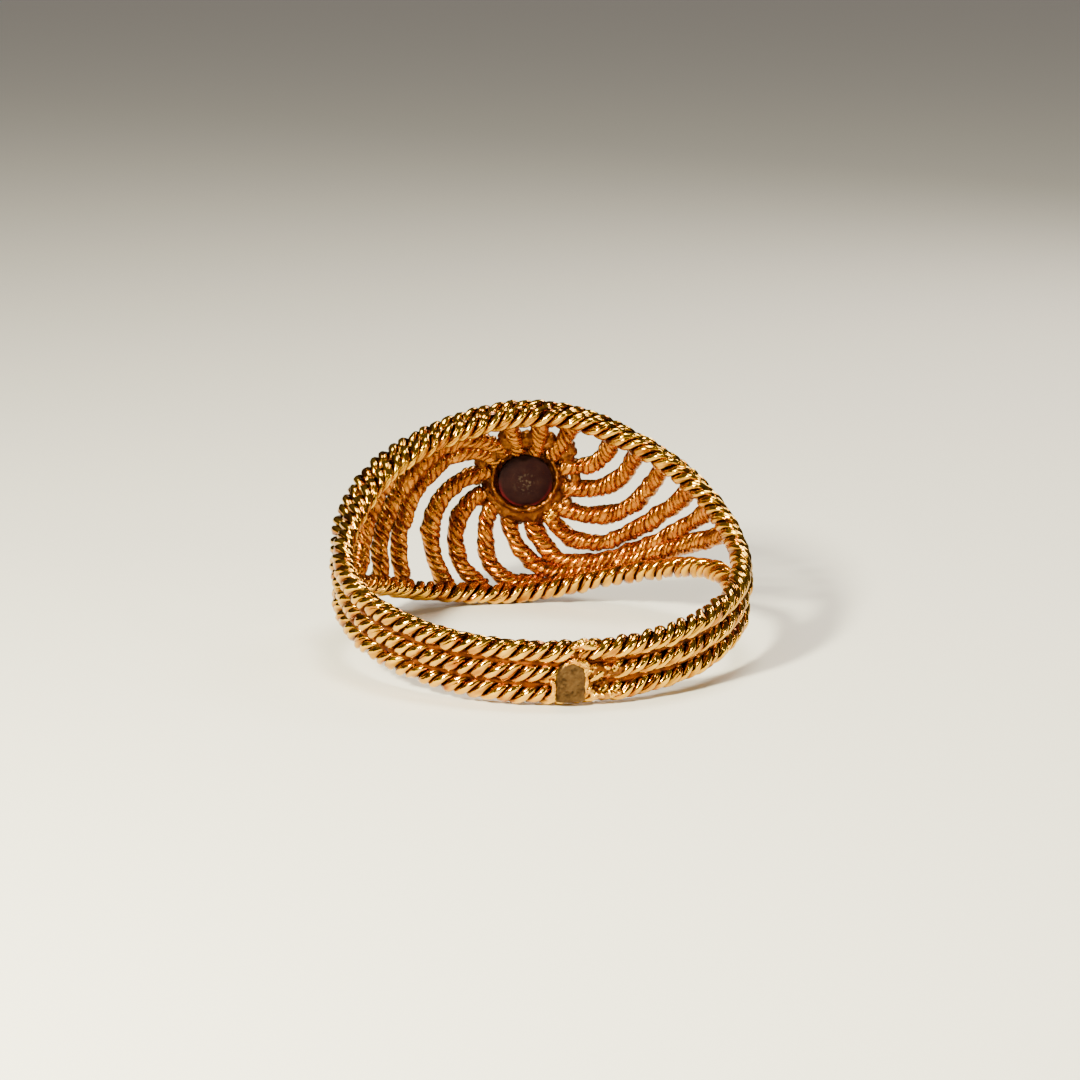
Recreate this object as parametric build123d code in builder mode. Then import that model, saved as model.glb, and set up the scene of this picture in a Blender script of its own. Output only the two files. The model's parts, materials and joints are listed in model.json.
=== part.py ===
from build123d import *
from math import asin, atan, cos, degrees, hypot, radians, sin, sqrt, tan
import os

os.makedirs("parts", exist_ok=True)

# Finger hole, wire gauges, and how neighbouring wires are set and soldered
finger_diameter = 18.0
rope_diameter = 1.1
row_pitch = 1.06
swirl_diameter = 0.95
solder_depth = 0.15
wire_flats = 12

# Head: how far its rims stand from the middle row of the shank, how far its dome stands
# out over them, and where the three wires of the shank part
head_rise = 4.3
head_drop = 5.55
dome_height = 2.0
shoulder_angle = 105.0

# Collet and stone, with heights along the collet's axis from the swirl wires' middle
collet_angle = -4.5
collet_height = -0.12
collet_lean = 10.0
collet_bore = 2.66
collet_base = 4.1
collet_mouth = 3.6
collet_wall = 0.3
collet_back = 0.5
collet_ledge = 0.1
collet_front = 1.0
root_diameter = 3.6
stone_gap = 0.05
stone_crown = 0.9
stone_belly = 0.35

# Solder plate on the back of the shank, over the middle and bottom rows
plate_angle = 172.0
plate_width = 1.4
plate_height = 2.05
plate_rise = 0.3
plate_proud = 0.1

# The ring lies on its side, rolled a little towards its right
lying_roll = 0.9

# Straight runs that the bent wires are made of
shank_step = 15.0
swirl_run = 1.5

rope_radius = rope_diameter / 2
swirl_radius = swirl_diameter / 2
row_radius = finger_diameter / 2 + rope_radius

# Rims, from left to right seen from the back of the shank: angle round the finger from the
# head's middle, share of the rise of the top wire, share of the drop of the bottom wire, and
# how far the middle wire has turned from beside the top wire (0) to below it (90)
rims = [
    (-97.5, 0.000, 0.000, 90),
    (-82.5, 0.090, 0.090, 74),
    (-67.5, 0.290, 0.300, 38),
    (-52.5, 0.560, 0.550, 18),
    (-37.5, 0.745, 0.790, 12),
    (-22.5, 0.890, 0.945, 5),
    (-7.5, 0.995, 1.000, 4),
    (7.5, 0.975, 0.890, 9),
    (22.5, 0.800, 0.685, 20),
    (37.5, 0.600, 0.450, 31),
    (52.5, 0.380, 0.215, 44),
    (67.5, 0.185, 0.035, 60),
    (82.5, 0.040, 0.000, 77),
    (97.5, 0.000, 0.000, 90),
]
ANGLE, RISE, DROP, TURN = range(4)

# Swirl wires: angle round the collet where the wire leaves it, direction in which it leaves,
# angle round the finger where it ends on a rim, direction in which it arrives there, and the
# shares of the wire's straight length over which it keeps the first and the last direction.
# Wires that arrive going up end on the upper rim, the others on the lower one
swirl = [
    (120, 128, -52.0, 258, 0.62, 0.24),
    (134, 132, -42.0, 278, 0.50, 0.38),
    (155, 195, -27.5, 290, 0.45, 0.50),
    (196, 208, -16.5, 320, 0.32, 0.50),
    (219, 256, 1.0, 368, 0.55, 0.60),
    (247, 274, 67.0, 26, 0.55, 0.35),
    (278, 280, 55.5, 43, 0.62, 0.18),
    (299, 297, 47.0, 49, 0.48, 0.55),
    (313, 339, 36.0, 59, 0.53, 0.35),
    (350, 358, 27.0, 76, 0.40, 0.42),
    (31, -2, 19.0, 86, 0.45, 0.45),
    (54, 58, 9.0, 72, 0.37, 0.35),
    (76, 88, -0.8, 94, 0.35, 0.35),
    (100, 106, -10.0, 100, 0.35, 0.35),
]

# One short wire joins the two rims left of the swirl: where it leaves the lower rim, its
# direction, where it ends on the upper rim, its direction, and the two shares
side_wire = (-66.0, 20, -41.0, 48, 0.32, 0.45)

# The lying ring touches the ground under the lowest corner of the lower rim and, across the
# finger hole, under the bottom row, and its roll lowers the second and lifts the first
lowest = max(rims, key=lambda row: row[DROP])[ANGLE]
roll_gain = -2 * row_radius * sin(radians(lowest)) * sin(radians(lying_roll))
lying_tilt = degrees(atan((head_drop - row_pitch - roll_gain) / (2 * row_radius)))
lie = Plane.XY.rotated((lying_tilt, lying_roll, 0))


def laid(angle, radius, height):
    """A point by its angle round the finger, its distance from the finger's axis and its height."""
    turn = radians(angle)
    return lie.from_local_coords(Vector(radius * sin(turn), radius * cos(turn), height))


def outwards(angle):
    return laid(angle, 1, 0) - laid(angle, 0, 0)


def between(angle, column):
    """A value of the rims' table at any angle, and that of its ends beyond them."""
    for left, right in zip(rims, rims[1:]):
        if left[ANGLE] <= angle <= right[ANGLE]:
            share = (angle - left[ANGLE]) / (right[ANGLE] - left[ANGLE])
            return left[column] + share * (right[column] - left[column])
    return rims[-1][column]


def top_wire(angle):
    return row_radius, row_pitch + (head_rise - row_pitch) * between(angle, RISE)


def middle_wire(angle):
    """The middle wire lies on the top wire, outside it in the head and below it in the shank."""
    radius, height = top_wire(angle)
    turn = radians(between(angle, TURN))
    return radius + row_pitch * cos(turn), height - row_pitch * sin(turn)


def bottom_wire(angle):
    return row_radius, -row_pitch - (head_drop - row_pitch) * between(angle, DROP)


def skin_radius(angle, height):
    """The swirl's distance from the finger's axis: a dome from rim to rim, resting on the lower."""
    top = top_wire(angle)[1]
    bottom = bottom_wire(angle)[1]
    half = (top - bottom) / 2
    share = (height - bottom) / half - 1
    fullness = min(1, half / ((head_rise + head_drop) / 2))
    dome = dome_height * fullness * sqrt(max(0, 1 - share * share))
    seat = rope_radius + swirl_radius - solder_depth
    return row_radius + max(dome, sqrt(max(0, seat * seat - (height - bottom) ** 2)))


def bent_wire(points, diameter, side):
    """A wire with flats along straight runs whose corners are mitred."""
    with BuildLine() as route:
        Polyline(*points)
    with BuildSketch(Plane(points[0], x_dir=side, z_dir=points[1] - points[0])) as section:
        RegularPolygon(diameter / 2, wire_flats, major_radius=False, rotation=180 / wire_flats)
    sweep(section.sketch, path=route.line, transition=Transition.RIGHT)


def hoop(wire, first, last):
    """A stretch of one of the three wires round the finger, with its corners outside the curve."""
    count = round((last - first) / shank_step)
    step = (last - first) / count
    out = 1 / cos(radians(step / 2))
    points = [laid(first, *wire(first))]
    for corner in range(count):
        angle = first + (corner + 0.5) * step
        radius, height = wire(angle)
        points.append(laid(angle, radius * out, height))
    points.append(laid(last, *wire(last)))
    bent_wire(points, rope_diameter, outwards(first))


def flat(angle):
    """Distance along the row that an angle round the finger spans."""
    return row_radius * radians(angle)


def stride(direction, length):
    return length * cos(radians(direction)), length * sin(radians(direction))


def upper_end(angle):
    """Where a wire ends on the upper rim: soldered into the middle wire."""
    radius, height = middle_wire(angle)
    return flat(angle), height, radius


def lower_end(angle):
    """Where a wire ends on the lower rim: against the outer side of the bottom wire."""
    height = bottom_wire(angle)[1]
    return flat(angle), height, skin_radius(angle, height)


def swirl_wire(start, leave, end, arrive, first_share, last_share):
    """A wire over the dome: start and end are places on the unrolled head, with their radius."""
    span = hypot(end[0] - start[0], end[1] - start[1])
    ahead = stride(leave, first_share * span)
    behind = stride(arrive, last_share * span)
    leading = (start[0] + ahead[0], start[1] + ahead[1])
    trailing = (end[0] - behind[0], end[1] - behind[1])
    count = max(3, round(span / swirl_run) + 1)
    points = [laid(degrees(start[0] / row_radius), start[2], start[1])]
    for step in range(1, count):
        s = step / count
        weights = ((1 - s) ** 3, 3 * s * (1 - s) ** 2, 3 * s * s * (1 - s), s ** 3)
        guides = (start, leading, trailing, end)
        across = sum(weight * guide[0] for weight, guide in zip(weights, guides))
        height = sum(weight * guide[1] for weight, guide in zip(weights, guides))
        angle = degrees(across / row_radius)
        points.append(laid(angle, skin_radius(angle, height), height))
    points.append(laid(degrees(end[0] / row_radius), end[2], end[1]))
    bent_wire(points, swirl_diameter, outwards(degrees(start[0] / row_radius)))


# In the collet's plane X runs outwards from its axis and Y along it, away from the finger
collet_radius = skin_radius(collet_angle, collet_height)
collet_centre = laid(collet_angle, collet_radius, collet_height)
collet_lead = laid(collet_angle, collet_radius + 1, collet_height - tan(radians(collet_lean)))
collet_axis = Axis(collet_centre, collet_lead - collet_centre)
collet_side = outwards(collet_angle + 90)
collet_plane = Plane(collet_centre, x_dir=collet_side, z_dir=collet_side.cross(collet_axis.direction))
seat_radius = collet_mouth / 2 - collet_wall

with BuildPart() as gold_wirework:
    # Three wires side by side round the back, and parted in the head
    for wire in (top_wire, middle_wire, bottom_wire):
        hoop(wire, -shoulder_angle, shoulder_angle)
        hoop(wire, shoulder_angle, 360 - shoulder_angle)

    # Swirl wires from the collet to the rims
    for root, leave, end_angle, arrive, first_share, last_share in swirl:
        step = stride(root, root_diameter / 2)
        across = flat(collet_angle) + step[0]
        height = collet_height + step[1]
        start = (across, height, skin_radius(degrees(across / row_radius), height))
        end = upper_end(end_angle) if 0 < arrive < 180 else lower_end(end_angle)
        swirl_wire(start, leave, end, arrive, first_share, last_share)

    # The short wire between the rims
    low_angle, leave, high_angle, arrive, first_share, last_share = side_wire
    swirl_wire(lower_end(low_angle), leave, upper_end(high_angle), arrive, first_share, last_share)

    # Collet: a tapered tube with a ledge, open at the back, its base flooded with solder
    with BuildSketch(collet_plane):
        with BuildLine():
            Polyline(
                (collet_bore / 2, -collet_back),
                (collet_bore / 2 + collet_wall, -collet_back),
                (collet_base / 2, 0),
                (collet_mouth / 2, collet_front / 2),
                (collet_mouth / 2, collet_front),
                (seat_radius, collet_front),
                (seat_radius, collet_ledge),
                (collet_bore / 2, collet_ledge),
                close=True,
            )
        make_face()
    revolve(axis=collet_axis)

    # Plate over the joint of the middle and bottom rows, sunk to the wires' middle
    plate_middle = laid(plate_angle, row_radius, plate_rise + plate_height / 2 - row_pitch - rope_radius)
    plate_plane = Plane(
        plate_middle,
        x_dir=outwards(plate_angle + 90),
        z_dir=outwards(plate_angle),
    )
    with BuildSketch(plate_plane):
        Rectangle(plate_width, plate_height)
    extrude(amount=rope_radius + plate_proud)
gold_wirework.part.label = "gold_wirework"

with BuildPart() as stone:
    # A cabochon: a low domed back through the ledge, a straight girdle and a domed front
    girdle = seat_radius - stone_gap
    belly = collet_bore / 2 - stone_gap
    girdle_back = collet_ledge + stone_gap
    crown_radius = (girdle**2 + stone_crown**2) / (2 * stone_crown)
    belly_radius = (belly**2 + stone_belly**2) / (2 * stone_belly)
    with BuildSketch(collet_plane):
        with BuildLine():
            front = JernArc(
                (0, collet_front + stone_crown), (1, 0), crown_radius, -degrees(asin(girdle / crown_radius))
            )
            back = JernArc(
                (0, girdle_back - stone_belly), (1, 0), belly_radius, degrees(asin(belly / belly_radius))
            )
            Polyline(front @ 1, (girdle, girdle_back), back @ 1)
            Line(back @ 0, front @ 0)
        make_face()
    revolve(axis=collet_axis)
stone.part.label = "stone"

# The lying ring is set down with its lowest point on the ground and its middle over the origin
whole_box = Compound([gold_wirework.part, stone.part]).bounding_box()
set_down = Pos(-whole_box.center().X, -whole_box.center().Y, -whole_box.min.Z)
for piece in (gold_wirework.part, stone.part):
    placed = set_down * piece
    placed.label = piece.label
    export_step(placed, f"parts/{piece.label}.step")
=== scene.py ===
import json
from math import asin, atan2, ceil, cos, degrees, hypot, pi, radians, sin, sqrt, tan

import bpy
from mathutils import Matrix, Vector


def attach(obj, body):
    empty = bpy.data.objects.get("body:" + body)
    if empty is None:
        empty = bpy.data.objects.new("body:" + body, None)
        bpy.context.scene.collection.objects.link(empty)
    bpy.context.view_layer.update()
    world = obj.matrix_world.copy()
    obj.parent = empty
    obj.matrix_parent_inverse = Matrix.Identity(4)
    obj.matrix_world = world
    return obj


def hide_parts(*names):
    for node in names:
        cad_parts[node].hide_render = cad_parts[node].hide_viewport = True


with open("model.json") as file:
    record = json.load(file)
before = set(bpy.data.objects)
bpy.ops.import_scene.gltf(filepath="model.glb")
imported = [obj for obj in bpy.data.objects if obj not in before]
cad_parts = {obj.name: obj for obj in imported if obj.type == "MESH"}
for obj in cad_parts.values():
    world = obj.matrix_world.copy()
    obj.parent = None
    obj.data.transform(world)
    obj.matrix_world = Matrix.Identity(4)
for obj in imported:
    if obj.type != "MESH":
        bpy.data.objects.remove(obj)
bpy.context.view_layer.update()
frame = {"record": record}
MM = 0.001

# The ring lies on its side: its finger hole is tipped back and rolled a little, as the
# mount in its centre says. Places on it are given round that hole, in millimetres: the
# angle from the middle of the head, the distance from the hole's axis and the height.
hole = next(mount for mount in frame["record"]["mounts"] if mount["name"] == "finger_hole")
hole_centre = Vector(hole["pos_m"])
hole_axis = Vector(hole["axis"])
lying_roll = asin(hole_axis.x)
lying_tilt = atan2(-hole_axis.y, hole_axis.z)
lie = Matrix.Rotation(lying_tilt, 3, "X") @ Matrix.Rotation(lying_roll, 3, "Y")


def place(angle, radius, height):
    turn = radians(angle)
    return hole_centre + lie @ Vector((radius * sin(turn), radius * cos(turn), height)) * MM


def direction(angle, outward=1.0, upward=0.0):
    turn = radians(angle)
    return (lie @ Vector((outward * sin(turn), outward * cos(turn), upward))).normalized()


# The camera looks at the back of the shank from a little above, over it into the head
view_drop = 12.69
camera_roll = 0.70
camera_offset = Vector((-0.10, -159.98, 37.94))
bpy.ops.object.camera_add(location=hole_centre + camera_offset * MM)
camera = bpy.context.object
camera.rotation_euler = (
    Matrix.Rotation(radians(90 - view_drop), 3, "X") @ Matrix.Rotation(radians(camera_roll), 3, "Z")
).to_euler()
camera.data.sensor_width = 36
camera.data.lens = 113.8
camera.data.clip_start = 0.005
camera.data.clip_end = 20
bpy.context.scene.camera = camera

# Three wires make the shank, soldered side by side, and part at the shoulders into the
# rims of the head. Each is three doubled strands of thin gold wire twisted tight,
# left-handed, and bent to a hoop. The top one is closed; the lower two end under a plate.
finger_diameter = 18.0
rope_diameter = 1.1
row_pitch = 1.06
rope_lay = 2.0
# Strands, how far out they lie, their fine wires' radius and spread as shares of the
# diameter, the fine wires' lay, and the sides and steps of their mesh
rope_strand = (3, 0.275, 0.175, 0.05, 2.4, 12, 18)
core_share = 0.15
groove_share = 0.25
wander_size = 0.9
dent_size = 0.2
dent_depth = 0.05
turn_merge = 0.004
ring_merge = 0.01
head_rise = 4.3
head_drop = 5.55
row_radius = finger_diameter / 2 + rope_diameter / 2
hoop_ends = 172.0
rim_unevenness = 0.14
rims = [
    (-97.5, 0.000, 0.000, 90),
    (-82.5, 0.090, 0.090, 74),
    (-67.5, 0.290, 0.300, 38),
    (-52.5, 0.560, 0.550, 18),
    (-37.5, 0.745, 0.790, 12),
    (-22.5, 0.890, 0.945, 5),
    (-7.5, 0.995, 1.000, 4),
    (7.5, 0.975, 0.890, 9),
    (22.5, 0.800, 0.685, 20),
    (37.5, 0.600, 0.450, 31),
    (52.5, 0.380, 0.215, 44),
    (67.5, 0.185, 0.035, 60),
    (82.5, 0.040, 0.000, 77),
    (97.5, 0.000, 0.000, 90),
]
ANGLE, RISE, DROP, TURN = range(4)


def rim_value(angle, column):
    """A column of the rims' table at any angle, smooth from row to row and level beyond them."""
    last = len(rims) - 1
    if not rims[0][ANGLE] < angle < rims[last][ANGLE]:
        return rims[0][column]
    left = max(row for row in range(last) if rims[row][ANGLE] <= angle)
    step = rims[left + 1][ANGLE] - rims[left][ANGLE]
    s = (angle - rims[left][ANGLE]) / step
    before, start, end, after = (
        rims[min(max(row, 0), last)][column] for row in range(left - 1, left + 3)
    )
    leave, arrive = (end - before) / 2, (after - start) / 2
    return (
        (2 * s**3 - 3 * s**2 + 1) * start
        + (s**3 - 2 * s**2 + s) * leave
        + (3 * s**2 - 2 * s**3) * end
        + (s**3 - s**2) * arrive
    )


def top_wire(angle):
    return row_radius, row_pitch + (head_rise - row_pitch) * rim_value(angle, RISE)


def middle_wire(angle):
    radius, height = top_wire(angle)
    turn = radians(rim_value(angle, TURN))
    return radius + row_pitch * cos(turn), height - row_pitch * sin(turn)


def bottom_wire(angle):
    return row_radius, -row_pitch - (head_drop - row_pitch) * rim_value(angle, DROP)


def apply_modifiers(piece):
    bpy.context.view_layer.objects.active = piece
    for modifier in list(piece.modifiers):
        bpy.ops.object.modifier_apply(modifier=modifier.name)


def new_piece(name):
    """The primitive just added, named, with its place and turn in its mesh."""
    piece = bpy.context.object
    piece.name = piece.data.name = name
    bpy.ops.object.transform_apply(location=True, rotation=True, scale=True)
    return piece


def route_curve(points, closed=False):
    """A smooth curve through points, for a straight piece to be bent along."""
    data = bpy.data.curves.new("route", "CURVE")
    data.dimensions = "3D"
    data.resolution_u = 12
    spline = data.splines.new("BEZIER")
    spline.bezier_points.add(len(points) - 1)
    for knot, point in zip(spline.bezier_points, points):
        knot.co = point
        knot.handle_left_type = knot.handle_right_type = "AUTO"
    spline.use_cyclic_u = closed
    route = bpy.data.objects.new("route", data)
    bpy.context.scene.collection.objects.link(route)
    return route


def press(piece, name, size, depth, direction="NORMAL"):
    """Uneven handwork: the surface pushed in and out by a cloudy pattern of one size."""
    pattern = bpy.data.textures.new(name, "CLOUDS")
    pattern.noise_scale = size
    pattern.noise_depth = 1
    pattern.cloud_type = "GRAYSCALE" if direction == "NORMAL" else "COLOR"
    push = piece.modifiers.new(name, "DISPLACE")
    push.texture = pattern
    push.texture_coords = "LOCAL"
    push.direction = direction
    push.strength = depth
    push.mid_level = 0.5


def twisted_wire(name, points, diameter, lay, strand, unevenness, closed=False):
    """Doubled strands twisted round each other, left-handed, along a route through points."""
    strands, reach_share, fine, spread, fine_lay, fine_sides, fine_steps = strand
    route = route_curve(points, closed)
    length = route.data.splines[0].calc_length()
    turns = max(1, round(length / (lay * MM)))
    doublings = max(1, round(length / (fine_lay * MM)))
    fine_pitch = length / doublings
    reach = reach_share * diameter * MM
    slant = hypot(1, 2 * pi * reach * turns / length)

    # One strand is two fine wires turned loosely round each other, right-handed
    bpy.ops.object.select_all(action="DESELECT")
    bpy.ops.mesh.primitive_circle_add(
        vertices=fine_sides, radius=fine * diameter * MM, location=(spread * diameter * MM, 0, 0)
    )
    piece = new_piece(name)
    bpy.ops.object.mode_set(mode="EDIT")
    bpy.ops.mesh.select_all(action="SELECT")
    bpy.ops.mesh.duplicate()
    bpy.ops.transform.rotate(value=pi, orient_axis="Z", center_override=(0, 0, 0))
    bpy.ops.object.mode_set(mode="OBJECT")
    double = piece.modifiers.new("double", "SCREW")
    double.axis = "Z"
    double.angle = 2 * pi
    double.screw_offset = fine_pitch
    double.steps = double.render_steps = fine_steps
    double.use_merge_vertices = False
    repeat = piece.modifiers.new("repeat", "ARRAY")
    repeat.fit_type = "FIXED_COUNT"
    repeat.count = doublings
    repeat.use_relative_offset = False
    repeat.use_constant_offset = True
    repeat.constant_offset_displace = (0, 0, fine_pitch)
    repeat.use_merge_vertices = True
    repeat.merge_threshold = turn_merge * MM
    apply_modifiers(piece)

    # How far each point stands out from its strand tells the grooves, painted in shade, from the
    # crests
    proud = piece.data.attributes.new("proud", "FLOAT", "POINT")
    for vertex, value in zip(piece.data.vertices, proud.data):
        value.value = hypot(vertex.co.x, vertex.co.y) / ((fine + spread) * diameter * MM)

    # The strand is moved out and widened for its slant, and copied round the wire
    bpy.ops.object.mode_set(mode="EDIT")
    bpy.ops.mesh.select_all(action="SELECT")
    bpy.ops.transform.resize(value=(1, slant, 1), center_override=(0, 0, 0))
    bpy.ops.transform.translate(value=(reach, 0, 0))
    for _ in range(strands - 1):
        bpy.ops.mesh.duplicate()
        bpy.ops.transform.rotate(
            value=2 * pi / strands, orient_axis="Z", center_override=(0, 0, 0)
        )
    bpy.ops.object.mode_set(mode="OBJECT")
    twist = piece.modifiers.new("twist", "SIMPLE_DEFORM")
    twist.deform_method = "TWIST"
    twist.deform_axis = "Z"
    twist.angle = -2 * pi * turns
    apply_modifiers(piece)
    if not closed:
        bpy.ops.object.mode_set(mode="EDIT")
        bpy.ops.mesh.select_all(action="SELECT")
        bpy.ops.mesh.fill_holes(sides=fine_sides)
        bpy.ops.object.mode_set(mode="OBJECT")
    for vertex, value in zip(piece.data.vertices, piece.data.attributes["proud"].data):
        outer = hypot(vertex.co.x, vertex.co.y) / (diameter / 2 * MM)
        value.value = outer * (1 - groove_share + groove_share * value.value)

    bend = piece.modifiers.new("bend", "CURVE")
    bend.object = route
    bend.deform_axis = "POS_Z"
    apply_modifiers(piece)

    # A core along the same route closes the middle between the strands; having no proud value, it
    # is painted fully in the grooves' painted shade
    route.data.bevel_depth = core_share * diameter * MM
    route.data.bevel_resolution = 0
    route.data.use_fill_caps = not closed
    bpy.ops.object.select_all(action="DESELECT")
    route.select_set(True)
    bpy.context.view_layer.objects.active = route
    bpy.ops.object.convert(target="MESH")
    piece.select_set(True)
    bpy.context.view_layer.objects.active = piece
    bpy.ops.object.join()
    press(piece, "wander", wander_size * MM, unevenness * MM, "RGB_TO_XYZ")
    press(piece, "dents", dent_size * MM, dent_depth * MM)
    apply_modifiers(piece)
    bpy.ops.object.mode_set(mode="EDIT")
    bpy.ops.mesh.select_all(action="SELECT")
    if closed:
        bpy.ops.mesh.remove_doubles(threshold=ring_merge * MM)
    bpy.ops.mesh.normals_make_consistent(inside=False)
    bpy.ops.object.mode_set(mode="OBJECT")
    bpy.ops.object.shade_smooth()
    return piece


def hoop_points(wire, first, last, step=7.5):
    count = round((last - first) / step)
    points = []
    for index in range(count + 1):
        angle = first + (last - first) * index / count
        within = (angle + 180) % 360 - 180
        points.append(place(angle, *wire(within)))
    return points


def group_socket(group, name, kind, value=None, way="INPUT"):
    socket = group.interface.new_socket(name=name, in_out=way, socket_type=kind)
    if value is not None:
        socket.default_value = value


# Worked gold: bright or deeper in tone in patches, with painted shade where the surface lies low
# (grooves between strands, pits in run metal), a painted highlight on the crests, and fine dents
# and grains
worked_gold = bpy.data.node_groups.new("worked_gold", "ShaderNodeTree")
group_socket(worked_gold, "Proud", "NodeSocketFloat", 1.0)
group_socket(worked_gold, "Low From", "NodeSocketFloat", 0.6)
group_socket(worked_gold, "Low To", "NodeSocketFloat", 0.9)
group_socket(worked_gold, "Bright", "NodeSocketColor", (1, 1, 1, 1))
group_socket(worked_gold, "Deep", "NodeSocketColor", (1, 1, 1, 1))
group_socket(worked_gold, "Low", "NodeSocketColor", (0, 0, 0, 1))
group_socket(worked_gold, "Crest", "NodeSocketColor", (1, 1, 1, 1))
group_socket(worked_gold, "Crest Share", "NodeSocketFloat", 0.0)
group_socket(worked_gold, "Patch Scale", "NodeSocketFloat", 900.0)
group_socket(worked_gold, "Grain Scale", "NodeSocketFloat", 6000.0)
group_socket(worked_gold, "Grain Depth", "NodeSocketFloat", 0.2)
group_socket(worked_gold, "Smooth", "NodeSocketFloat", 0.2)
group_socket(worked_gold, "Rough", "NodeSocketFloat", 0.4)
group_socket(worked_gold, "Color", "NodeSocketColor", way="OUTPUT")
group_socket(worked_gold, "Roughness", "NodeSocketFloat", way="OUTPUT")
group_socket(worked_gold, "Normal", "NodeSocketVector", way="OUTPUT")
nodes, links = worked_gold.nodes, worked_gold.links
given = nodes.new("NodeGroupInput")
result = nodes.new("NodeGroupOutput")
where = nodes.new("ShaderNodeTexCoord")
patches = nodes.new("ShaderNodeTexNoise")
patches.inputs["Detail"].default_value = 4
links.new(where.outputs["Object"], patches.inputs["Vector"])
links.new(given.outputs["Patch Scale"], patches.inputs["Scale"])
patch = nodes.new("ShaderNodeMapRange")
patch.inputs["From Min"].default_value = 0.35
patch.inputs["From Max"].default_value = 0.65
links.new(patches.outputs["Fac"], patch.inputs["Value"])
tone = nodes.new("ShaderNodeMix")
tone.data_type = "RGBA"
links.new(patch.outputs["Result"], tone.inputs["Factor"])
links.new(given.outputs["Bright"], tone.inputs["A"])
links.new(given.outputs["Deep"], tone.inputs["B"])
# Painted shade: the Low colour darkens the low-lying grooves and pits
rise = nodes.new("ShaderNodeMapRange")
rise.interpolation_type = "SMOOTHSTEP"
links.new(given.outputs["Proud"], rise.inputs["Value"])
links.new(given.outputs["Low From"], rise.inputs["From Min"])
links.new(given.outputs["Low To"], rise.inputs["From Max"])
colour = nodes.new("ShaderNodeMix")
colour.data_type = "RGBA"
links.new(rise.outputs["Result"], colour.inputs["Factor"])
links.new(given.outputs["Low"], colour.inputs["A"])
links.new(tone.outputs["Result"], colour.inputs["B"])
# Painted highlight: the crests are tinted towards the Crest colour
crest = nodes.new("ShaderNodeMapRange")
crest.inputs["From Min"].default_value = 0.86
crest.inputs["From Max"].default_value = 0.98
links.new(given.outputs["Proud"], crest.inputs["Value"])
links.new(given.outputs["Crest Share"], crest.inputs["To Max"])
crest_highlight = nodes.new("ShaderNodeMix")
crest_highlight.data_type = "RGBA"
links.new(crest.outputs["Result"], crest_highlight.inputs["Factor"])
links.new(colour.outputs["Result"], crest_highlight.inputs["A"])
links.new(given.outputs["Crest"], crest_highlight.inputs["B"])
links.new(crest_highlight.outputs["Result"], result.inputs["Color"])
grains = nodes.new("ShaderNodeTexNoise")
grains.inputs["Detail"].default_value = 3
links.new(where.outputs["Object"], grains.inputs["Vector"])
links.new(given.outputs["Grain Scale"], grains.inputs["Scale"])
gloss = nodes.new("ShaderNodeMapRange")
gloss.inputs["From Min"].default_value = 0.35
gloss.inputs["From Max"].default_value = 0.65
links.new(grains.outputs["Fac"], gloss.inputs["Value"])
links.new(given.outputs["Smooth"], gloss.inputs["To Min"])
links.new(given.outputs["Rough"], gloss.inputs["To Max"])
links.new(gloss.outputs["Result"], result.inputs["Roughness"])
bumps = nodes.new("ShaderNodeBump")
bumps.inputs["Distance"].default_value = 0.02 * MM
links.new(grains.outputs["Fac"], bumps.inputs["Height"])
links.new(given.outputs["Grain Depth"], bumps.inputs["Strength"])
links.new(bumps.outputs["Normal"], result.inputs["Normal"])


def gold_material(name, **values):
    """A gold finish: the worked gold group with this finish's own values."""
    material = bpy.data.materials.new(name)
    material.use_nodes = True
    nodes, links = material.node_tree.nodes, material.node_tree.links
    shader = nodes["Principled BSDF"]
    shader.inputs["Metallic"].default_value = 1.0
    gold = nodes.new("ShaderNodeGroup")
    gold.node_tree = worked_gold
    proud = nodes.new("ShaderNodeAttribute")
    proud.attribute_name = "proud"
    links.new(proud.outputs["Fac"], gold.inputs["Proud"])
    for key, value in values.items():
        gold.inputs[key.replace("_", " ").title()].default_value = value
    links.new(gold.outputs["Color"], shader.inputs["Base Color"])
    links.new(gold.outputs["Roughness"], shader.inputs["Roughness"])
    links.new(gold.outputs["Normal"], shader.inputs["Normal"])
    return material


def fit_gold(piece, material):
    piece.data.materials.clear()
    piece.data.materials.append(material)
    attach(piece, "root")
    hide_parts("gold_wirework")


# The rims' gold: the lit copy of the gold, lighter than the shaded gold of the swirl wires, with
# painted shade in its grooves and a painted highlight on its crests
lit_gold = gold_material(
    "lit_gold",
    bright=(0.83, 0.44, 0.018, 1),
    deep=(0.37, 0.102, 0.004, 1),
    crest=(0.95, 0.575, 0.048, 1),
    crest_share=0.5,
    low=(0.08, 0.012, 0.001, 1),
    low_from=0.55,
    low_to=0.95,
    patch_scale=1100.0,
    grain_scale=6500.0,
    grain_depth=0.7,
    smooth=0.06,
    rough=0.20,
)

rim_top = twisted_wire(
    "rim_top",
    hoop_points(top_wire, hoop_ends - 360, hoop_ends)[:-1],
    rope_diameter,
    rope_lay,
    rope_strand,
    rim_unevenness,
    closed=True,
)
fit_gold(rim_top, lit_gold)
for name, wire in (("rim_middle", middle_wire), ("rim_bottom", bottom_wire)):
    points = hoop_points(wire, hoop_ends - 360, hoop_ends)
    rope = twisted_wire(name, points, rope_diameter, rope_lay, rope_strand, rim_unevenness)
    fit_gold(rope, lit_gold)

# Hard solder joins the wires: a thin lumpy run of it lies in each valley between two wires,
# round the shank and between the two upper rims. Its deep red colour is painted shade of the
# valley.
seam_diameter = 0.46
seam_first = 86.0
seam_last = 264.0
seam_end_radius = 0.3
seam_lumps = (0.5, 0.22)
seam_grains = (0.16, 0.08)
settled_share = 0.35


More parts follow.
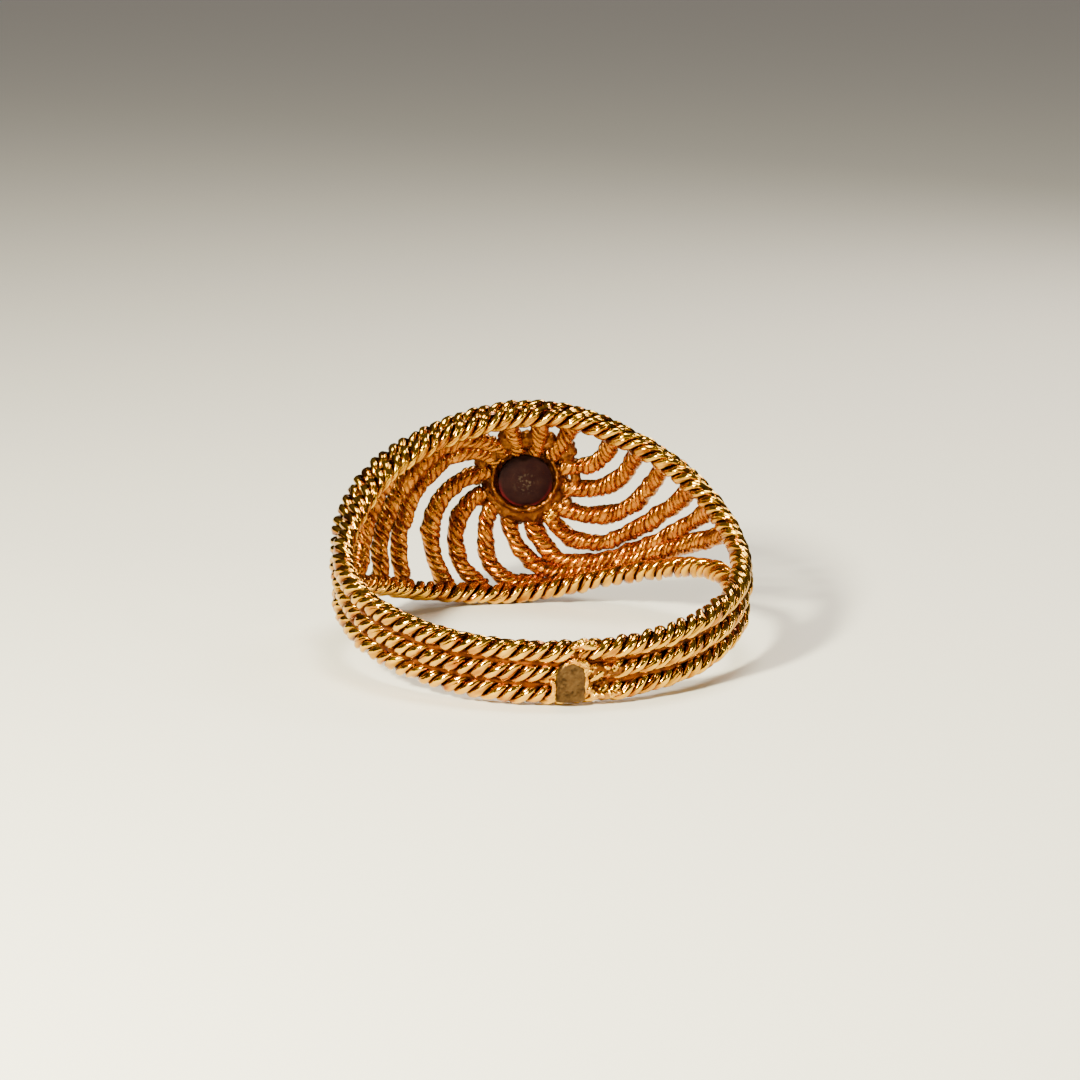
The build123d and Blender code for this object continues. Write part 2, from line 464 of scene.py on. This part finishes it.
def set_to_size(piece):
    """A piece worked in millimetres is brought to metres."""
    bpy.ops.object.select_all(action="DESELECT")
    piece.select_set(True)
    bpy.context.view_layer.objects.active = piece
    piece.scale = (MM, MM, MM)
    bpy.ops.object.transform_apply(location=True, rotation=True, scale=True)


def run_rough(piece, lumps, grains):
    """Metal that has run and set: lumpy, then grained, noting how proud each point came out.

    Lumps and grains are each a size and a depth.
    """
    before = [(vertex.co.copy(), vertex.normal.copy()) for vertex in piece.data.vertices]
    press(piece, "lumps", *lumps)
    press(piece, "grains", *grains)
    apply_modifiers(piece)
    # Painted shade: the proud value runs from the deepest pits, darkened, to the highest lumps,
    # left bright
    reach = (lumps[1] + grains[1]) * settled_share
    proud = piece.data.attributes.new("proud", "FLOAT", "POINT")
    for vertex, (place_before, normal), value in zip(piece.data.vertices, before, proud.data):
        value.value = min(1, max(0, 0.5 + (vertex.co - place_before).dot(normal) / (2 * reach)))
    bpy.ops.object.select_all(action="DESELECT")
    piece.select_set(True)
    bpy.ops.object.shade_smooth()


def drawn_run(name, points, diameter, closed=False):
    """A run of metal along a route, as a bevelled curve made a mesh, in millimetres."""
    bpy.ops.object.select_all(action="DESELECT")
    run = route_curve([point / MM for point in points], closed)
    run.name = run.data.name = name
    run.data.bevel_depth = diameter / 2
    run.data.bevel_resolution = 3
    run.data.use_fill_caps = not closed
    if not closed:
        knots = run.data.splines[0].bezier_points
        knots[0].radius = knots[-1].radius = seam_end_radius
    run.select_set(True)
    bpy.context.view_layer.objects.active = run
    bpy.ops.object.convert(target="MESH")
    return bpy.context.object


def between_rows(upper, lower):
    def valley(angle):
        above, below = upper(angle), lower(angle)
        return (above[0] + below[0]) / 2, (above[1] + below[1]) / 2

    return valley


# Painted shade: the seams' solder is coloured dark as the shade in the valleys between wires
shaded_solder = gold_material(
    "shaded_solder",
    bright=(0.24, 0.060, 0.006, 1),
    deep=(0.11, 0.024, 0.002, 1),
    low=(0.04, 0.008, 0.001, 1),
    low_from=0.15,
    low_to=0.75,
    patch_scale=1500.0,
    grain_scale=9000.0,
    grain_depth=0.5,
    smooth=0.26,
    rough=0.5,
)
upper_seam = drawn_run(
    "solder_upper",
    hoop_points(between_rows(top_wire, middle_wire), -187.5, 172.5)[:-1],
    seam_diameter,
    closed=True,
)
lower_seam = drawn_run(
    "solder_lower",
    hoop_points(between_rows(middle_wire, bottom_wire), seam_first, seam_last),
    seam_diameter,
)
for seam in (upper_seam, lower_seam):
    run_rough(seam, seam_lumps, seam_grains)
    set_to_size(seam)
    fit_gold(seam, shaded_solder)

# Fourteen thinner twisted wires leave the collet one after another and swirl over the
# domed head. Those that rise are soldered under the middle wire, the others against the
# outer side of the bottom wire. Each is four full strands, twisted and bent by hand.
swirl_diameter = 0.95
swirl_lay = 1.5
swirl_strand = (4, 0.292, 0.175, 0.03, 2.2, 10, 22)
swirl_unevenness = 0.26
solder_depth = 0.15
dome_height = 2.0
collet_angle = -4.5
collet_height = -0.12
root_diameter = 3.6
swirl = [
    (120, 128, -52.0, 258, 0.62, 0.24),
    (134, 132, -42.0, 278, 0.50, 0.38),
    (155, 195, -27.5, 290, 0.45, 0.50),
    (196, 208, -16.5, 320, 0.32, 0.50),
    (219, 256, 1.0, 368, 0.55, 0.60),
    (247, 274, 67.0, 26, 0.55, 0.35),
    (278, 280, 55.5, 43, 0.62, 0.18),
    (299, 297, 47.0, 49, 0.48, 0.55),
    (313, 339, 36.0, 59, 0.53, 0.35),
    (350, 358, 27.0, 76, 0.40, 0.42),
    (31, -2, 19.0, 86, 0.45, 0.45),
    (54, 58, 9.0, 72, 0.37, 0.35),
    (76, 88, -0.8, 94, 0.35, 0.35),
    (100, 106, -10.0, 100, 0.35, 0.35),
]
side_wire = (-66.0, 20, -41.0, 48, 0.32, 0.45)


def skin_radius(angle, height):
    """How far the swirl lies from the finger's axis: domed from rim to rim."""
    top = top_wire(angle)[1]
    bottom = bottom_wire(angle)[1]
    half = (top - bottom) / 2
    share = (height - bottom) / half - 1
    fullness = min(1, half / ((head_rise + head_drop) / 2))
    dome = dome_height * fullness * sqrt(max(0, 1 - share * share))
    seat = rope_diameter / 2 + swirl_diameter / 2 - solder_depth
    return row_radius + max(dome, sqrt(max(0, seat * seat - (height - bottom) ** 2)))


def on_head(across, height, lift=0.0):
    """A place on the head's dome: distance along it from its middle, height, and lift off it."""
    angle = degrees(across / row_radius)
    return place(angle, skin_radius(angle, height) + lift, height)


def flat(angle):
    return row_radius * radians(angle)


def stride(heading, length):
    return length * cos(radians(heading)), length * sin(radians(heading))


def upper_end(angle):
    radius, height = middle_wire(angle)
    return flat(angle), height, radius


def lower_end(angle):
    height = bottom_wire(angle)[1]
    return flat(angle), height, skin_radius(angle, height)


def swirl_points(start, leave, end, arrive, first_share, last_share):
    span = hypot(end[0] - start[0], end[1] - start[1])
    ahead = stride(leave, first_share * span)
    behind = stride(arrive, last_share * span)
    leading = (start[0] + ahead[0], start[1] + ahead[1])
    trailing = (end[0] - behind[0], end[1] - behind[1])
    count = max(4, ceil(span / 0.7))
    points = [place(degrees(start[0] / row_radius), start[2], start[1])]
    for step in range(1, count):
        s = step / count
        weights = ((1 - s) ** 3, 3 * s * (1 - s) ** 2, 3 * s * s * (1 - s), s**3)
        guides = (start, leading, trailing, end)
        across = sum(weight * guide[0] for weight, guide in zip(weights, guides))
        height = sum(weight * guide[1] for weight, guide in zip(weights, guides))
        points.append(on_head(across, height))
    points.append(place(degrees(end[0] / row_radius), end[2], end[1]))
    return points


shaded_gold = gold_material(
    "shaded_gold",
    bright=(0.52, 0.200, 0.012, 1),
    deep=(0.28, 0.074, 0.004, 1),
    low=(0.09, 0.013, 0.001, 1),
    low_from=0.45,
    low_to=0.90,
    patch_scale=1300.0,
    grain_scale=6500.0,
    grain_depth=0.7,
    smooth=0.15,
    rough=0.34,
)

swirl_routes = []
for root, leave, end_angle, arrive, first_share, last_share in swirl:
    step = stride(root, root_diameter / 2)
    across, height = flat(collet_angle) + step[0], collet_height + step[1]
    start = (across, height, skin_radius(degrees(across / row_radius), height))
    end = upper_end(end_angle) if 0 < arrive < 180 else lower_end(end_angle)
    swirl_routes.append(swirl_points(start, leave, end, arrive, first_share, last_share))
for number, points in enumerate(swirl_routes, 1):
    rope = twisted_wire(
        f"swirl_wire_{number:02d}",
        points,
        swirl_diameter,
        swirl_lay,
        swirl_strand,
        swirl_unevenness,
    )
    fit_gold(rope, shaded_gold)
low_angle, leave, high_angle, arrive, first_share, last_share = side_wire
side_route = swirl_points(
    lower_end(low_angle), leave, upper_end(high_angle), arrive, first_share, last_share
)
rope = twisted_wire(
    "side_wire", side_route, swirl_diameter, swirl_lay, swirl_strand, swirl_unevenness
)
fit_gold(rope, shaded_gold)

# The collet is a short tapered gold tube, open at the back with an uneven lip. The roots of
# the wires are drowned in solder round its base, which also fills the corners between them
# up to the upper rim and leaves a few small holes there.
collet_lean = 10.0
collet_profile = [
    (1.40, -0.12),
    (1.42, -0.24),
    (1.47, -0.44),
    (1.57, -0.66),
    (1.67, -0.72),
    (1.77, -0.62),
    (1.86, -0.40),
    (2.10, -0.30),
    (2.24, -0.12),
    (2.24, 0.10),
    (2.05, 0.32),
    (1.86, 0.50),
    (1.80, 1.00),
    (1.74, 1.06),
    (1.56, 1.06),
    (1.50, 1.00),
    (1.50, 0.10),
    (1.40, 0.10),
]
web_lumps = [
    (110, 2.45, 0.95, 0.70),
    (110, 2.85, 0.70, 0.55),
    (90, 2.50, 1.00, 0.70),
    (68, 2.50, 0.90, 0.65),
    (69, 2.80, 0.65, 0.50),
    (43, 2.40, 0.85, 0.60),
    (44, 2.75, 0.60, 0.50),
    (50, 3.05, 0.50, 0.45),
    (127, 2.45, 0.95, 0.70),
    (129, 2.95, 0.80, 0.60),
    (133, 3.40, 0.70, 0.50),
    (146, 2.30, 0.75, 0.55),
    (10, 2.20, 0.60, 0.50),
    (330, 2.15, 0.60, 0.50),
    (263, 2.20, 0.60, 0.50),
    (288, 2.15, 0.60, 0.50),
    (175, 2.10, 0.60, 0.50),
    (208, 2.15, 0.60, 0.50),
]
root_reach = 0.42
root_lump = (1.15, 0.84, 0.76)
web_grain = 0.05
lip_shift = (0.06, 0.26, 0)
lip_radius = 1.68
lip_band = 0.12
lip_height = -0.52
lip_start = -0.30
# Painted shade: how much the inner wall is darkened, and how much and from where the base is
# darkened towards its lower side
inner_shade = 0.45
base_shade = 0.55
base_start = 1.5
base_fade = 0.5
collet_centre = place(collet_angle, skin_radius(collet_angle, collet_height), collet_height)
collet_axis = direction(collet_angle, 1, -tan(radians(collet_lean)))
collet_turn = collet_axis.to_track_quat("Z", "Y").to_matrix().to_4x4()


def turned(name, profile, closed, sides=72):
    """A turned piece: rings of a profile, radius and height, drawn out from one circle."""
    bpy.ops.object.select_all(action="DESELECT")
    radius, height = profile[0]
    bpy.ops.mesh.primitive_circle_add(vertices=sides, radius=radius, location=(0, 0, height))
    piece = new_piece(name)
    bpy.ops.object.mode_set(mode="EDIT")
    bpy.ops.mesh.select_all(action="SELECT")
    for next_radius, next_height in profile[1:] + profile[:1] if closed else profile[1:]:
        bpy.ops.mesh.extrude_region_move(
            TRANSFORM_OT_translate={"value": (0, 0, next_height - height)}
        )
        scale = next_radius / radius
        bpy.ops.transform.resize(value=(scale, scale, 1), center_override=(0, 0, 0))
        radius, height = next_radius, next_height
    bpy.ops.mesh.select_all(action="SELECT")
    bpy.ops.mesh.remove_doubles(threshold=0.0005)
    if not closed:
        bpy.ops.mesh.fill_holes(sides=sides)
        bpy.ops.mesh.select_all(action="SELECT")
    bpy.ops.mesh.normals_make_consistent(inside=False)
    bpy.ops.object.mode_set(mode="OBJECT")
    return piece


def set_on_collet(piece):
    piece.matrix_world = Matrix.Translation(collet_centre / MM) @ collet_turn
    bpy.context.view_layer.update()
    bpy.ops.object.select_all(action="DESELECT")
    piece.select_set(True)
    bpy.context.view_layer.objects.active = piece
    bpy.ops.object.transform_apply(location=True, rotation=True, scale=True)


def lump(centre, outward, along, length, width, depth):
    """A drop of solder: a ball drawn out along a wire and flattened on the head."""
    across = outward.cross(along).normalized()
    along = across.cross(outward)
    bpy.ops.object.select_all(action="DESELECT")
    bpy.ops.mesh.primitive_ico_sphere_add(subdivisions=3, radius=0.5)
    drop = bpy.context.object
    turn = Matrix((along, across, outward)).transposed().to_4x4()
    size = Matrix.Diagonal((length, width, depth, 1))
    drop.matrix_world = Matrix.Translation(centre / MM) @ turn @ size
    bpy.context.view_layer.update()
    bpy.ops.object.transform_apply(location=True, rotation=True, scale=True)
    return drop


def melted(name, pieces, grain):
    """Several pieces run together into one skin, in cells of one size."""
    bpy.ops.object.select_all(action="DESELECT")
    for piece in pieces:
        piece.select_set(True)
    bpy.context.view_layer.objects.active = pieces[0]
    bpy.ops.object.join()
    piece = bpy.context.object
    piece.name = piece.data.name = name
    skin = piece.modifiers.new("skin", "REMESH")
    skin.mode = "VOXEL"
    skin.voxel_size = grain
    flow = piece.modifiers.new("flow", "SMOOTH")
    flow.factor = 0.5
    flow.iterations = 4
    apply_modifiers(piece)
    return piece


def web_place(heading, reach, lift=0.0):
    step = stride(heading, reach)
    return on_head(flat(collet_angle) + step[0], collet_height + step[1], lift)


collet = turned("collet", collet_profile, closed=True)
bpy.ops.object.mode_set(mode="EDIT")
bpy.ops.mesh.select_all(action="DESELECT")
bpy.ops.object.mode_set(mode="OBJECT")
for vertex in collet.data.vertices:
    vertex.select = vertex.co.z < lip_start
bpy.ops.object.mode_set(mode="EDIT")
bpy.ops.transform.translate(value=lip_shift)
bpy.ops.object.mode_set(mode="OBJECT")
set_on_collet(collet)
drops = [collet]
outward = direction(collet_angle)
for route in swirl_routes:
    along = (route[1] - route[0]).normalized()
    drops.append(lump(route[0] + along * root_reach * MM, outward, along, *root_lump))
for heading, reach, width, depth in web_lumps:
    centre = web_place(heading, reach)
    along = (web_place(heading, reach + 0.1) - centre).normalized()
    drops.append(lump(centre, outward, along, width, width, depth))
drowned_roots = melted("collet", drops, web_grain)
run_rough(drowned_roots, lumps=(0.42, 0.16), grains=(0.15, 0.09))

# The lip is painted bright; the inner wall behind it and the base below it, towards its lower side,
# are darkened as painted shade
into_collet = (Matrix.Translation(collet_centre / MM) @ collet_turn).inverted()
lip_and_shade = drowned_roots.data.attributes["proud"].data
for vertex, value in zip(drowned_roots.data.vertices, lip_and_shade):
    spot = into_collet @ vertex.co
    out = hypot(spot.x - lip_shift[0], spot.y - lip_shift[1])
    on_lip = max(0, 1 - abs(out - lip_radius) / lip_band) if spot.z < lip_height else 0
    inner = inner_shade if out < lip_radius - 0.05 else 1.0
    lower = min(1, max(0, (-spot.y - base_start) / base_fade))
    base = 1.0 - base_shade * lower if out > lip_radius else 1.0
    value.value = max(on_lip, value.value * inner * base)
set_to_size(drowned_roots)
flooded_gold = gold_material(
    "flooded_gold",
    bright=(0.25, 0.088, 0.013, 1),
    deep=(0.11, 0.030, 0.005, 1),
    low=(0.06, 0.012, 0.002, 1),
    low_from=0.12,
    low_to=0.62,
    patch_scale=1800.0,
    grain_scale=8000.0,
    grain_depth=0.7,
    smooth=0.28,
    rough=0.52,
)
fit_gold(drowned_roots, flooded_gold)

# Where each wire ends on a rim, a drop of solder holds it. One drop is made at each foot,
# drawn out along the rim.
foot_reach = 0.6
foot_lean = 0.4
foot_lump = (1.0, 0.68, 0.74)
feet = [(route[-1], route[-2]) for route in swirl_routes + [side_route]]
feet.append((side_route[0], side_route[1]))
drops = []
for foot, before in feet:
    within = lie.transposed() @ (foot - hole_centre)
    angle = degrees(atan2(within.x, within.y))
    rim = middle_wire if within.z > 0 else bottom_wire
    here, there = place(angle, *rim(angle)), place(angle + 2, *rim(angle + 2))
    if within.z > 0:
        middle = foot + (before - foot).normalized() * foot_reach * MM
    else:
        middle = foot.lerp(here, foot_lean)
    drops.append(lump(middle, direction(angle), (there - here).normalized(), *foot_lump))
foot_solder = melted("foot_solder", drops, 0.06)
run_rough(foot_solder, lumps=(0.4, 0.20), grains=(0.15, 0.08))
set_to_size(foot_solder)
fit_gold(foot_solder, flooded_gold)

# The stone is a dark red garnet cabochon. Its polished front stands domed out of the
# collet's mouth, and its duller, slightly domed back shows through the open tube.
stone_girdle = 1.45
stone_belly = 1.39
stone_back = -0.43
stone_front = 1.90
stone_shoulder = 1.0
back_rise = 0.16
glow_start = 0.86
glow_gain = 7
# Painted highlight: how far from the middle of the back the pale specks reach
glint_reach = 0.5
behind = 0.5
stone_profile = [(0.02, stone_back)]
for part in range(1, 8):
    share = part / 7
    stone_profile.append((stone_belly * share, stone_back + back_rise * share**2))
stone_profile += [(stone_girdle, 0.15), (stone_girdle, stone_shoulder)]
for part in range(1, 10):
    turn = radians(9 * part)
    height = stone_shoulder + (stone_front - stone_shoulder) * sin(turn)
    stone_profile.append((stone_girdle * cos(turn), height))
stone_profile.append((0.02, stone_front))
cabochon = turned("cabochon", stone_profile, closed=False)
polish = cabochon.data.attributes.new("polish", "FLOAT", "POINT")
lit_edge = cabochon.data.attributes.new("lit_edge", "FLOAT", "POINT")
middle_highlight = cabochon.data.attributes.new("middle_highlight", "FLOAT", "POINT")
for vertex, front, lit, centre_glint in zip(
    cabochon.data.vertices, polish.data, lit_edge.data, middle_highlight.data
):
    seen_behind = vertex.co.z < behind
    front.value = 0.0 if vertex.co.z <= behind else 1.0
    out = hypot(vertex.co.x, vertex.co.y) / stone_belly
    low = max(0, 0.1 - vertex.co.y / stone_belly)
    lit.value = min(1, max(0, out - glow_start) * glow_gain * low) if seen_behind else 0.0
    centre_glint.value = max(0, 1 - out / glint_reach) if seen_behind else 0.0
set_on_collet(cabochon)
set_to_size(cabochon)
bpy.ops.object.shade_smooth_by_angle(angle=radians(40))

garnet = bpy.data.materials.new("garnet")
garnet.use_nodes = True
nodes, links = garnet.node_tree.nodes, garnet.node_tree.links
shader = nodes["Principled BSDF"]
shader.inputs["Specular IOR Level"].default_value = 0.06
where = nodes.new("ShaderNodeTexCoord")
clouds = nodes.new("ShaderNodeTexNoise")
clouds.inputs["Scale"].default_value = 1500
clouds.inputs["Detail"].default_value = 5
links.new(where.outputs["Object"], clouds.inputs["Vector"])
veil = nodes.new("ShaderNodeMapRange")
veil.inputs["From Min"].default_value = 0.4
veil.inputs["From Max"].default_value = 0.75
links.new(clouds.outputs["Fac"], veil.inputs["Value"])
body = nodes.new("ShaderNodeMix")
body.data_type = "RGBA"
body.inputs["A"].default_value = (0.0085, 0.0016, 0.0019, 1)
body.inputs["B"].default_value = (0.015, 0.0045, 0.0036, 1)
links.new(veil.outputs["Result"], body.inputs["Factor"])
rim_glow = nodes.new("ShaderNodeAttribute")
rim_glow.attribute_name = "lit_edge"
glow = nodes.new("ShaderNodeMix")
glow.data_type = "RGBA"
glow.inputs["B"].default_value = (0.13, 0.006, 0.010, 1)
links.new(rim_glow.outputs["Fac"], glow.inputs["Factor"])
links.new(body.outputs["Result"], glow.inputs["A"])
# Painted highlight: pale specks in the middle of the stone's dull back
specks = nodes.new("ShaderNodeTexNoise")
specks.inputs["Scale"].default_value = 6500
specks.inputs["Detail"].default_value = 2
links.new(where.outputs["Object"], specks.inputs["Vector"])
speck = nodes.new("ShaderNodeMapRange")
speck.inputs["From Min"].default_value = 0.52
speck.inputs["From Max"].default_value = 0.66
links.new(specks.outputs["Fac"], speck.inputs["Value"])
glint_mask = nodes.new("ShaderNodeAttribute")
glint_mask.attribute_name = "middle_highlight"
share = nodes.new("ShaderNodeMath")
share.operation = "MULTIPLY"
links.new(speck.outputs["Result"], share.inputs[0])
links.new(glint_mask.outputs["Fac"], share.inputs[1])
glinted = nodes.new("ShaderNodeMix")
glinted.data_type = "RGBA"
glinted.inputs["B"].default_value = (0.055, 0.038, 0.026, 1)
links.new(share.outputs["Value"], glinted.inputs["Factor"])
links.new(glow.outputs["Result"], glinted.inputs["A"])
links.new(glinted.outputs["Result"], shader.inputs["Base Color"])
front = nodes.new("ShaderNodeAttribute")
front.attribute_name = "polish"
gloss = nodes.new("ShaderNodeMapRange")
gloss.inputs["To Min"].default_value = 0.50
gloss.inputs["To Max"].default_value = 0.08
links.new(front.outputs["Fac"], gloss.inputs["Value"])
links.new(gloss.outputs["Result"], shader.inputs["Roughness"])
cabochon.data.materials.append(garnet)
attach(cabochon, "root")
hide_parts("stone")

# A small arched plate is soldered over the ends of the lower two rows at the back of the
# shank. It is bare, dull and a little pitted, with a brighter edge of solder round its
# arch and right side.
plate_angle = 172.1
plate_width = 1.36
plate_top = 0.70
plate_bottom = -1.28
plate_radius = row_radius + 0.62
plate_thickness = 0.26
foot_squash = 0.12


def on_plate(right, height, lift=0.0):
    """A place on the plate's face: how far right of its middle, height, and lift off it."""
    return place(plate_angle - degrees(right / plate_radius), plate_radius + lift, height)


bpy.ops.object.select_all(action="DESELECT")
bpy.ops.mesh.primitive_cylinder_add(
    vertices=48, radius=plate_width / 2, depth=plate_thickness, end_fill_type="NGON"
)
plate = new_piece("plate")
bpy.ops.object.mode_set(mode="EDIT")
bpy.ops.mesh.select_all(action="DESELECT")
bpy.ops.object.mode_set(mode="OBJECT")
drop_by = plate_top - plate_bottom - plate_width
for vertex in plate.data.vertices:
    vertex.select = vertex.co.y < -0.001
bpy.ops.object.mode_set(mode="EDIT")
bpy.ops.transform.resize(value=(1, foot_squash, 1), center_override=(0, 0, 0))
bpy.ops.transform.translate(value=(0, -drop_by - plate_width / 2 * (1 - foot_squash), 0))
bpy.ops.object.mode_set(mode="OBJECT")
across = direction(plate_angle - 90)
outward = direction(plate_angle)
upward = (lie @ Vector((0, 0, 1))).normalized()
turn = Matrix((across, upward, outward)).transposed().to_4x4()
seat = place(plate_angle, plate_radius - plate_thickness / 2, plate_top - plate_width / 2)
plate.matrix_world = Matrix.Translation(seat / MM) @ turn
bpy.context.view_layer.update()
bpy.ops.object.transform_apply(location=True, rotation=True, scale=True)
bare_plate = melted("plate", [plate], 0.04)
run_rough(bare_plate, lumps=(0.5, 0.05), grains=(0.14, 0.05))
set_to_size(bare_plate)
dull_plate = gold_material(
    "dull_plate",
    bright=(0.125, 0.067, 0.024, 1),
    deep=(0.080, 0.041, 0.014, 1),
    low=(0.035, 0.018, 0.006, 1),
    low_from=0.1,
    low_to=0.6,
    patch_scale=3200.0,
    grain_scale=6000.0,
    grain_depth=1.0,
    smooth=0.36,
    rough=0.62,
)
fit_gold(bare_plate, dull_plate)

# Solder stands up round the plate's arch and right side, floods the ends of the wires
# right of it and blots the row above. At its left one strand's end curls round.
bright_solder = gold_material(
    "bright_solder",
    bright=(0.92, 0.52, 0.05, 1),
    deep=(0.66, 0.26, 0.014, 1),
    low=(0.14, 0.028, 0.002, 1),
    low_from=0.10,
    low_to=0.62,
    patch_scale=1800.0,
    grain_scale=8000.0,
    grain_depth=0.6,
    smooth=0.14,
    rough=0.34,
)
border_diameter = 0.19
border_sink = -0.05
strap_sink = -0.06
border = [
    (-0.45, 0.50),
    (-0.12, 0.74),
    (0.30, 0.70),
    (0.62, 0.42),
    (0.73, 0.0),
    (0.74, -0.55),
    (0.72, -1.02),
]
strap = [
    (0.02, 0.80, 0.34, 0.24),
    (0.26, 0.84, 0.42, 0.30),
    (0.52, 0.74, 0.46, 0.34),
    (0.74, 0.56, 0.44, 0.36),
    (0.90, 0.34, 0.36, 0.30),
]


def off_plate(right):
    """The way straight off the plate's face, this far right of its middle."""
    return direction(plate_angle - degrees(right / plate_radius))


border_points = [on_plate(*point, border_sink) for point in border]
edge_pieces = [drawn_run("plate_edge", border_points, border_diameter)]
for right, height, width, depth in strap:
    centre = on_plate(right, height, strap_sink)
    along = (on_plate(right + 0.1, height - 0.03, strap_sink) - centre).normalized()
    edge_pieces.append(lump(centre, off_plate(right), along, width * 1.2, width * 0.7, depth))
edge_run = melted("plate_edge", edge_pieces, 0.035)
run_rough(edge_run, lumps=(0.26, 0.12), grains=(0.10, 0.08))
set_to_size(edge_run)
fit_gold(edge_run, bright_solder)
curl_diameter = 0.23
curl = [
    (-1.02, -0.10, -0.12),
    (-0.88, -0.14, 0.02),
    (-0.78, -0.42, 0.08),
    (-0.80, -0.70, 0.08),
    (-0.94, -0.94, 0.02),
    (-1.16, -1.10, -0.14),
]
curled_end = drawn_run("curled_end", [on_plate(*point) for point in curl], curl_diameter)
run_rough(curled_end, lumps=(0.35, 0.06), grains=(0.12, 0.03))
set_to_size(curled_end)
fit_gold(curled_end, bright_solder)
blot_sink = -0.36
dull_blots = [
    (0.95, 0.30, 0.50, 0.52),
    (1.20, -0.05, 0.55, 0.56),
    (1.60, 0.12, 0.55, 0.56),
    (1.25, 0.30, 0.50, 0.52),
    (2.05, 0.00, 0.55, 0.54),
    (2.50, 0.02, 0.45, 0.48),
    (-0.30, 0.92, 0.50, 0.50),
    (0.10, 1.02, 0.50, 0.50),
    (0.55, 1.00, 0.50, 0.50),
    (0.90, -0.45, 0.40, 0.42),
    (1.50, -0.50, 0.42, 0.38),
]
bright_blots = [
    (0.98, -0.78, 0.46, 0.70),
    (1.25, -1.00, 0.52, 0.80),
    (1.62, -1.05, 0.50, 0.78),
    (2.00, -1.06, 0.48, 0.76),
    (2.36, -1.06, 0.40, 0.66),
    (0.30, 1.46, 0.46, 0.54),
    (0.66, 1.52, 0.50, 0.56),
    (1.02, 1.42, 0.44, 0.52),
    (1.75, 0.30, 0.30, 0.60),
    (1.10, 0.42, 0.30, 0.58),
    (2.20, 0.25, 0.26, 0.56),
    (1.45, -0.02, 0.26, 0.62),
]
for name, blots, finish in (
    ("dull_blots", dull_blots, flooded_gold),
    ("bright_blots", bright_blots, bright_solder),
):
    drops = []
    for right, height, width, depth in blots:
        centre = on_plate(right, height, blot_sink)
        along = (on_plate(right + 0.1, height, blot_sink) - centre).normalized()
        drops.append(lump(centre, off_plate(right), along, width * 1.3, width, depth))
    solder = melted(name, drops, 0.045)
    run_rough(solder, lumps=(0.3, 0.20), grains=(0.12, 0.10))
    set_to_size(solder)
    fit_gold(solder, finish)

# Low on the right of the collet a few drops of the same bright solder sit over the root of a
# wire.
bright_drops = [(302, 2.12, 0.46), (309, 1.98, 0.42), (297, 2.28, 0.36)]
drop_sink = -0.42
drop_depth = 0.5
drops = []
for heading, reach, width in bright_drops:
    centre = web_place(heading, reach, drop_sink)
    along = (web_place(heading, reach + 0.1, drop_sink) - centre).normalized()
    drops.append(lump(centre, direction(collet_angle), along, width * 1.3, width, drop_depth))
bright_root = melted("bright_root", drops, 0.04)
run_rough(bright_root, lumps=(0.25, 0.16), grains=(0.10, 0.08))
set_to_size(bright_root)
fit_gold(bright_root, bright_solder)

# A plain pale paper floor, and a soft studio of one sun and four warm area lights
bpy.ops.mesh.primitive_plane_add(size=6, location=(0, 0, 0))
floor = bpy.context.object
floor.name = "floor"
paper = bpy.data.materials.new("pale_paper")
paper.use_nodes = True
shader = paper.node_tree.nodes["Principled BSDF"]
shader.inputs["Base Color"].default_value = (0.76, 0.74, 0.71, 1)
shader.inputs["Roughness"].default_value = 0.7
floor.data.materials.append(paper)


def soft_light(name, place_mm, size_mm, power, warmth):
    bpy.ops.object.light_add(type="AREA", location=Vector(place_mm) * MM)
    light = bpy.context.object
    light.name = name
    light.data.shape = "RECTANGLE"
    light.data.size, light.data.size_y = (side * MM for side in size_mm)
    light.data.energy = power
    light.data.color = warmth
    aim = Vector((0, 0, 5 * MM)) - light.location
    light.rotation_euler = aim.to_track_quat("-Z", "Y").to_euler()


bpy.ops.object.light_add(type="SUN", rotation=(radians(38), radians(-30), 0))
daylight = bpy.context.object
daylight.name = "daylight"
daylight.data.energy = 0.75
daylight.data.angle = radians(18)
daylight.data.color = (1.0, 0.95, 0.88)
soft_light("key", (-70, -110, 80), (14, 22), 1.05, (1.0, 0.95, 0.66))
soft_light("top", (10, 10, 130), (50, 36), 0.20, (1.0, 0.94, 0.74))
soft_light("rim", (80, 110, 90), (50, 30), 0.12, (1.0, 0.90, 0.78))
soft_light("fill", (110, -80, 60), (14, 22), 0.07, (1.0, 0.94, 0.66))

# The studio is brighter overhead than round about
world = bpy.data.worlds.new("studio")
bpy.context.scene.world = world
world.use_nodes = True
nodes, links = world.node_tree.nodes, world.node_tree.links
where = nodes.new("ShaderNodeTexCoord")
split = nodes.new("ShaderNodeSeparateXYZ")
links.new(where.outputs["Generated"], split.inputs["Vector"])
shade = nodes.new("ShaderNodeMapRange")
shade.inputs["From Min"].default_value = 0.0
shade.inputs["From Max"].default_value = 0.9
shade.inputs["To Min"].default_value = 0.02
shade.inputs["To Max"].default_value = 0.14
links.new(split.outputs["Z"], shade.inputs["Value"])
links.new(shade.outputs["Result"], nodes["Background"].inputs["Strength"])
nodes["Background"].inputs["Color"].default_value = (1.0, 0.90, 0.79, 1)
